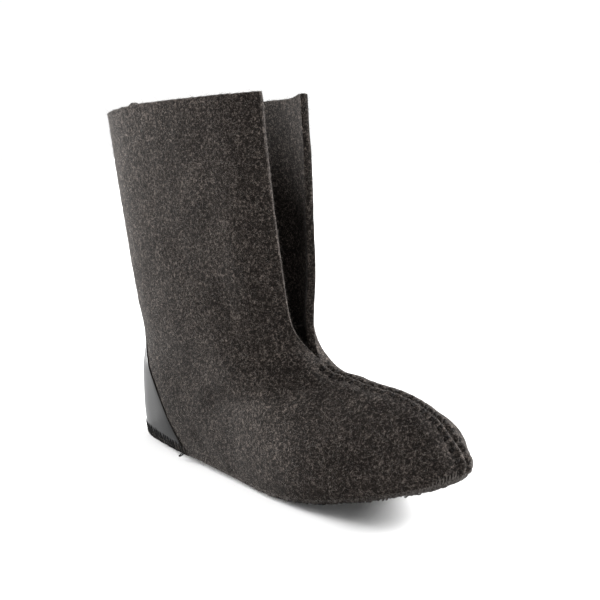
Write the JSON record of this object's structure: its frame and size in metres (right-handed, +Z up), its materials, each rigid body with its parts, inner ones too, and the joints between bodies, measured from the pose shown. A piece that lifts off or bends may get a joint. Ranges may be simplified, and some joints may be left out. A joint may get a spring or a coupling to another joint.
{
  "type": "felt boot liner",
  "caption": "Ankle-high boot liner of grey felt: a hollow shell with an open split front, a felt sole and a smooth heel patch, joined by raised overlock seams.",
  "frame": {"origin": "on the floor, under the middle of the liner's footprint box", "axes": "+Z up, the toe points along -Y and the heel along +Y, +X is the wearer's left, the arch side of this right foot"},
  "size_m": [0.1158, 0.3294, 0.2785],
  "materials": {
    "felt": "matt charcoal melange wool felt with a short nap",
    "sole_felt": "matt charcoal wool felt",
    "vinyl": "smooth satin dark grey vinyl",
    "seam": "dark overlock thread over felt"
  },
  "bodies": {
    "root": {"upper": "felt", "sole": "sole_felt", "heel_counter": "vinyl", "vamp_seam": "seam", "sole_seam": "seam", "back_seam": "seam"}
  },
  "joints": []
}
